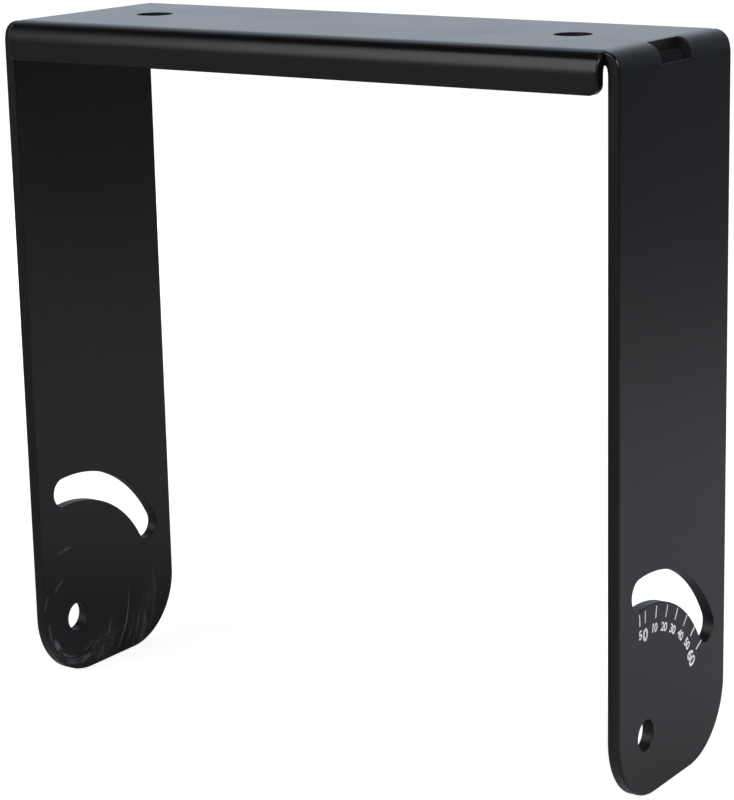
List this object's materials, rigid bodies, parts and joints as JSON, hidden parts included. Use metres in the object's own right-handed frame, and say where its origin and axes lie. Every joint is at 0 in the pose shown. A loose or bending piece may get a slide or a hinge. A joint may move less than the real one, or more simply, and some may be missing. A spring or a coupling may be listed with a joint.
{
  "type": "speaker wall bracket",
  "caption": "U-shaped yoke folded from steel sheet, with a lipped fixing plate and two arms that clamp a speaker by a pivot hole and an arc-shaped tilt slot.",
  "frame": {"origin": "centre of the fixing plate's outer face, which lies against the wall or ceiling", "axes": "+Z out of the fixing plate's outer face, towards the wall or ceiling; +X along the plate, towards the arm with the printed scale; +Y towards the edges that the tilt slots lean to. The arms hang down -Z."},
  "size_m": [0.245, 0.0842, 0.246],
  "materials": {
    "powder_coat": "satin"
  },
  "bodies": {
    "root": {"bracket": "powder_coat"}
  },
  "joints": []
}
